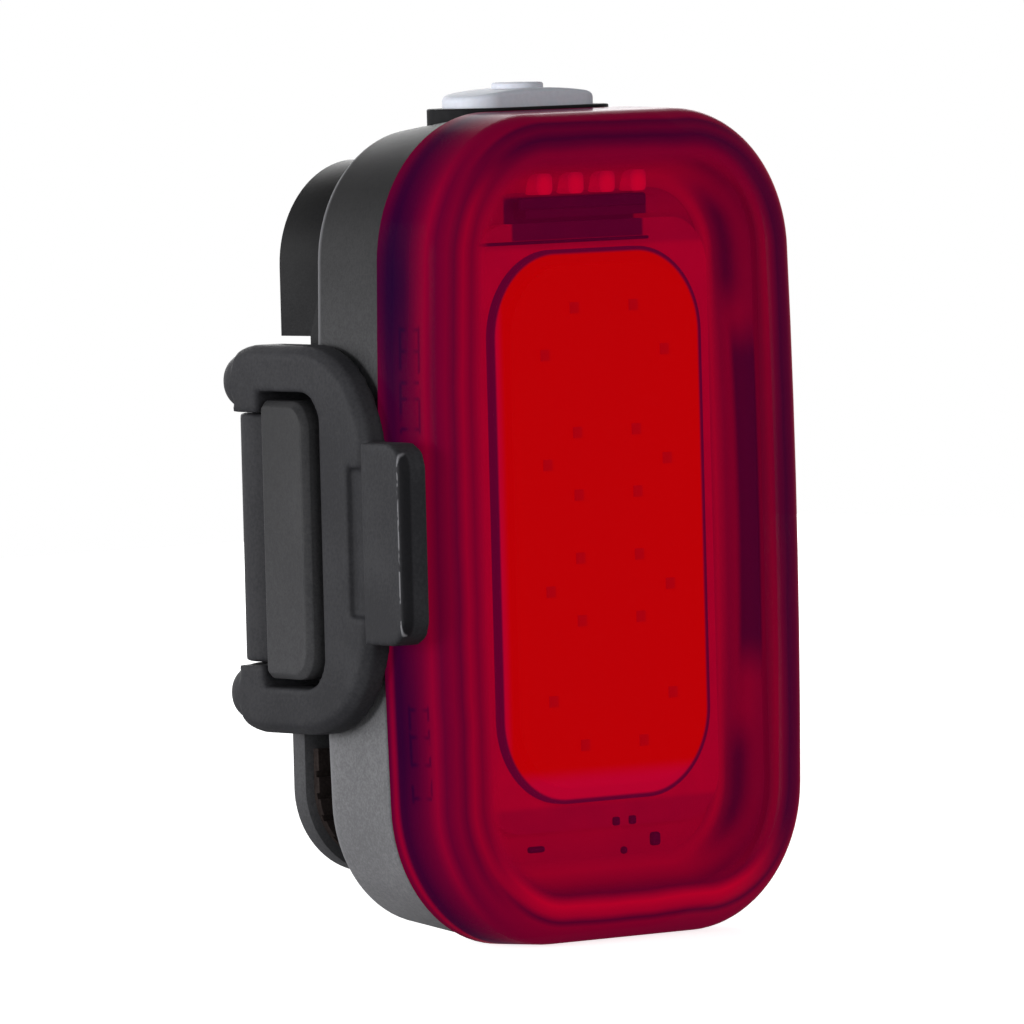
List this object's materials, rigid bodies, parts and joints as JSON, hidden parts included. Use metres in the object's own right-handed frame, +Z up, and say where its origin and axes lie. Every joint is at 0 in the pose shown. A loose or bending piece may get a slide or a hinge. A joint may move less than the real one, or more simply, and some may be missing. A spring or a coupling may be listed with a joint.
{
  "type": "bicycle rear light",
  "caption": "Strap-on rechargeable rear light with a tall red lens, a light panel, a top button, a rubber strap that hooks over a side peg, and a clip tongue behind.",
  "frame": {"origin": "in the middle of the saddle pad's grip face, where the seatpost beds", "axes": "+Z up along the seatpost, -Y the way the red lens looks, +X to the side of the charge port, away from the strap's hook"},
  "size_m": [0.0446, 0.0274, 0.0692],
  "materials": {
    "lens_red": "clear red, glossy",
    "seal": "soft black rubber",
    "housing": "fine moulded texture, graphite",
    "tray": "satin, pale grey",
    "spreader": "rolled sheet",
    "light_board": "white solder mask on metal",
    "dam": "white silicone",
    "light_panel": "clear silicone over the lamps, glowing red",
    "chips": "small dark dice",
    "gauge": "small moulded lamps",
    "circuit": "green solder mask",
    "chip": "black moulded package",
    "passives": "tinned ends",
    "battery": "foil pouch",
    "foam": "closed-cell foam",
    "leads": "insulated wire",
    "button_frame": "black, satin gloss",
    "button": "soft grey-blue silicone",
    "switch": "stamped cover over black plastic",
    "plunger": "black plastic",
    "socket": "formed sheet",
    "flap": "soft black rubber",
    "bracket": "fine moulded texture, graphite",
    "screws": "blackened steel",
    "pad": "soft grooved rubber",
    "peg": "fine moulded texture",
    "strap": "soft silicone, faint mould line",
    "pin": "ground steel",
    "tongue": "fine moulded texture, graphite",
    "grip": "soft ribbed rubber"
  },
  "bodies": {
    "lamp": {"lens_cover": "lens_red", "lens_seal": "seal", "main_housing": "housing", "reflector_tray": "tray", "heat_spreader": "spreader", "light_board": "light_board", "light_dam": "dam", "light_panel": "light_panel", "led_chips": "chips", "gauge_leds": "gauge", "circuit_board": "circuit", "driver_chip": "chip", "board_passives": "passives", "battery_cell": "battery", "battery_foam": "foam", "battery_leads": "leads", "button_frame": "button_frame", "tact_switch": "switch", "charge_socket": "socket", "rear_bracket": "bracket", "bracket_screws": "screws", "saddle_pad": "pad", "strap_peg": "peg", "strap_band": "strap", "strap_pin": "pin"},
    "button": {"button_cap": "button"},
    "plunger": {"switch_plunger": "plunger"},
    "flap": {"port_cover": "flap"},
    "strap": {"strap_ring": "strap"},
    "clip": {"clip_tongue": "tongue", "clip_grip": "grip"}
  },
  "joints": [
    {"name": "button_press", "type": "slide", "parent": "lamp", "child": "button", "axis": [0, 0, -1], "range_m": [0, 0.0006], "stiffness_N_per_m": 800, "springref_m": -0.0004},
    {"name": "switch_press", "type": "slide", "parent": "lamp", "child": "plunger", "axis": [0, 0, -1], "range_m": [0, 0.0006]},
    {"name": "port_open", "type": "hinge", "parent": "lamp", "child": "flap", "pos_m": [0.0186, -0.0099, -0.0099], "axis": [0, -1, 0], "range_deg": [0, 95], "stiffness_Nm_per_rad": 0.0004},
    {"name": "strap_unhook", "type": "hinge", "parent": "lamp", "child": "strap", "pos_m": [-0.0172, 0.0025, 0], "axis": [0, 0, -1], "range_deg": [0, 120], "stiffness_Nm_per_rad": 0.004},
    {"name": "clip_flex", "type": "hinge", "parent": "lamp", "child": "clip", "pos_m": [0, -0.00025, -0.01532], "axis": [1, 0, 0], "range_deg": [0, 6], "stiffness_Nm_per_rad": 1.2}
  ],
  "couplings": [
    {"joint": "switch_press", "follows": "button_press", "ratio": 1}
  ]
}
